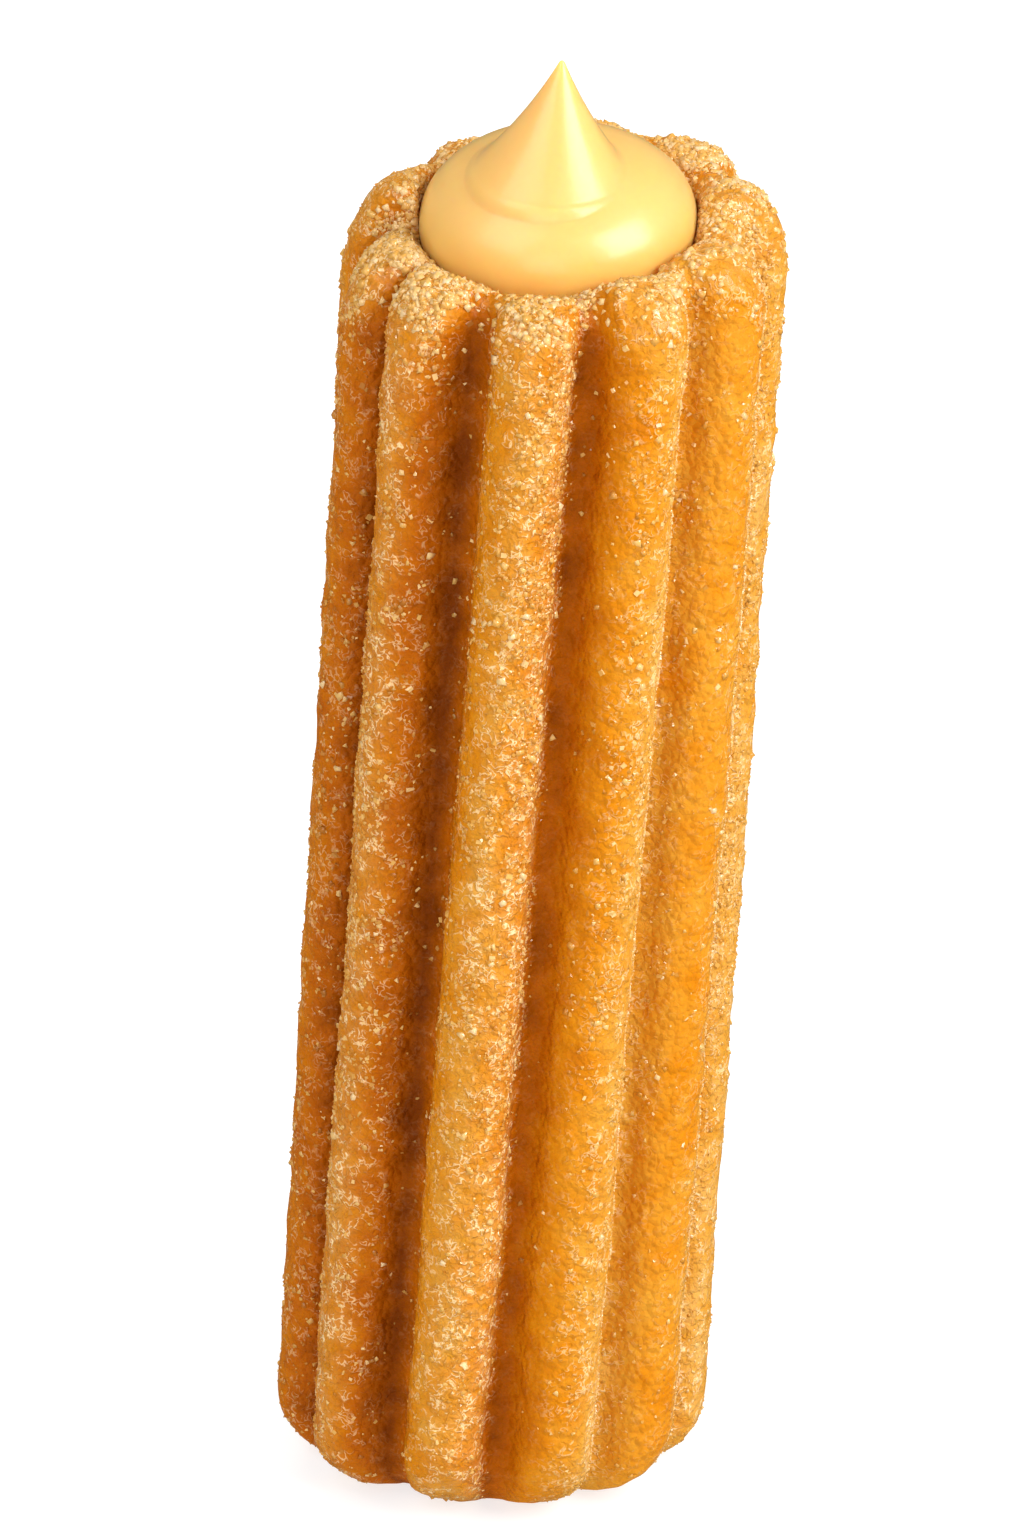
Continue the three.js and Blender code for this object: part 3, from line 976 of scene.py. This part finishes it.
def makeSugarFinish(look):
    finish, tree, shader = newFinish("sugar_crystal")
    tone = addNode(tree, "ShaderNodeAttribute", attribute_name="grainTone").outputs["Fac"]
    # tone of the crust under the grain, painted shade included, stains it
    under = addNode(tree, "ShaderNodeAttribute", attribute_name="crustToneAndShade").outputs["Fac"]
    cloud = placeGroup(tree, crustMottle, Size=900.0)
    crust = placeGroup(tree, crustColour, Tone=under, Patch=cloud.outputs["Patch"], Patch_Strength=0.3)
    golden = rerange(tree, tone, 0, 0.6, *look["goldShare"])
    stained = blendColours(tree, golden, crust.outputs["Color"], look["gold"])
    whiter = rerange(tree, tone, 0.5, 1, 0, look["paleShare"])
    tree.links.new(blendColours(tree, whiter, stained, look["pale"]), shader.inputs["Base Color"])
    rough = rerange(tree, cloud.outputs["Patch"], 0, 1, look["roughness"] - 0.06, look["roughness"] + 0.12)
    tree.links.new(rough, shader.inputs["Roughness"])
    shader.inputs["Transmission Weight"].default_value = look["clear"]
    shader.inputs["Specular IOR Level"].default_value = look["specular"]
    return finish


sugarFinish = makeSugarFinish(sugarLook)
for piece in sugarPieces:
    piece.data.materials.append(sugarFinish)
print("finishes made")

# ---- floor, light and camera

stageLook = {
    "floorSize": 3.0,
    "floorDrop": 0.02,  # millimetres under the foot
    "floor": (0.34, 0.34, 0.34, 1.0),
    "floorGlow": 0.74,
    "whiteOver": (0.3, 0.8),  # metres out over which the floor's glow turns fully white
    "worldLight": 0.4,
    "worldShine": 0.06,
}


def makeFloor(look):
    half = look["floorSize"] / 2
    points = np.array([[-half, -half, 0], [half, -half, 0], [half, half, 0], [-half, half, 0]]) / mm
    points[:, 2] = -look["floorDrop"]
    floor = makePiece("studio_floor", points, np.array([[0, 1, 2, 3]]), flat=True)
    finish, tree, shader = newFinish("pale_floor")
    cloud = addNode(tree, "ShaderNodeTexNoise", [("Scale", 6.0)])
    darker = tuple(v * 0.99 for v in look["floor"])
    pale = blendColours(tree, cloud.outputs["Fac"], look["floor"], darker)
    tree.links.new(pale, shader.inputs["Base Color"])
    shader.inputs["Roughness"].default_value = 0.9
    place = tree.nodes.new("ShaderNodeTexCoord")
    away = addNode(tree, "ShaderNodeVectorMath", [(0, place.outputs["Object"])], operation="LENGTH")
    white = rerange(tree, away.outputs["Value"], *look["whiteOver"], 0.0, 1.0)
    nearGlow, farGlow = (look["floorGlow"],) * 3 + (1.0,), (1.0, 1.0, 1.0, 1.0)
    tree.links.new(blendColours(tree, white, nearGlow, farGlow), shader.inputs["Emission Color"])
    shader.inputs["Emission Strength"].default_value = 1.0
    shader.inputs["Specular IOR Level"].default_value = 0.1
    floor.data.materials.append(finish)
    floor.visible_glossy = False


def makeWorld(look):
    world = bpy.data.worlds.new("studio_air")
    bpy.context.scene.world = world
    world.use_nodes = True
    tree = world.node_tree
    back = tree.nodes["Background"]
    back.inputs["Color"].default_value = (1.0, 1.0, 1.0, 1.0)
    path = tree.nodes.new("ShaderNodeLightPath")
    unseen = rerange(tree, path.outputs["Is Glossy Ray"], 0.0, 1.0, look["worldLight"], look["worldShine"])
    power = rerange(tree, path.outputs["Is Camera Ray"], 0.0, 1.0, unseen, 1.0)
    tree.links.new(power, back.inputs["Strength"])


lampSetup = {
    "key_right": {"place": (0.52, -0.27, 0.55), "size": (0.5, 0.46), "power": 6.7, "shine": True},
    "soft_left": {"place": (-0.42, -0.3, 0.62), "size": (0.5, 0.5), "power": 2.0, "shine": True},
    "fill_front": {"place": (-0.15, -0.8, 0.35), "size": (0.5, 0.5), "power": 1.5, "shine": True},
    "back_low": {"place": (-0.18, 0.62, 0.28), "size": (0.4, 0.4), "power": 3.6, "shine": False},
}


def addLamp(name, setup, target):
    lamp = bpy.data.lights.new(name, "AREA")
    lamp.shape = "RECTANGLE"
    lamp.size, lamp.size_y = setup["size"]
    lamp.energy = setup["power"]
    holder = bpy.data.objects.new(name, lamp)
    holder.location = setup["place"]
    holder.rotation_euler = (Vector(target) - Vector(setup["place"])).to_track_quat("-Z", "Y").to_euler()
    holder.visible_glossy = setup["shine"]
    bpy.context.scene.collection.objects.link(holder)


makeFloor(stageLook)
makeWorld(stageLook)
middle = Vector((0, 0, 0.5 * (cadBounds[0][2] + cadBounds[1][2])))
for name, setup in lampSetup.items():
    addLamp(name, setup, middle)

cameraSetup = {
    "elevation": 25.0,  # degrees
    "roll": 3.68,
    "distance": 0.8354,
    "lens": 232.28,
    "aim": (-0.001721, 0.005092),  # aim beside and above the middle, across the view
    "middle": 0.0585,
}


def makeCamera(setup):
    tilt, roll = math.radians(setup["elevation"]), math.radians(setup["roll"])
    back = Vector((0, -math.cos(tilt), math.sin(tilt)))
    right = Vector((1, 0, 0))
    up = back.cross(right)
    centre = Vector((0, 0, setup["middle"]))
    place = centre + back * setup["distance"]
    aim = centre + right * setup["aim"][0] + up * setup["aim"][1]
    back = (place - aim).normalized()
    right = Vector((0, 0, 1)).cross(back).normalized()
    up = back.cross(right)
    camX = right * math.cos(roll) + up * math.sin(roll)
    camY = up * math.cos(roll) - right * math.sin(roll)
    lens = bpy.data.cameras.new("studio_camera")
    lens.lens = setup["lens"]
    lens.sensor_width = 36.0
    lens.clip_start, lens.clip_end = 0.01, 20.0
    camera = bpy.data.objects.new("studio_camera", lens)
    camera.matrix_world = Matrix((
        (camX.x, camY.x, back.x, place.x),
        (camX.y, camY.y, back.y, place.y),
        (camX.z, camY.z, back.z, place.z),
        (0, 0, 0, 1)))
    bpy.context.scene.collection.objects.link(camera)
    bpy.context.scene.camera = camera


makeCamera(cameraSetup)
bpy.context.scene.view_settings.view_transform = "Standard"
print("stage made")
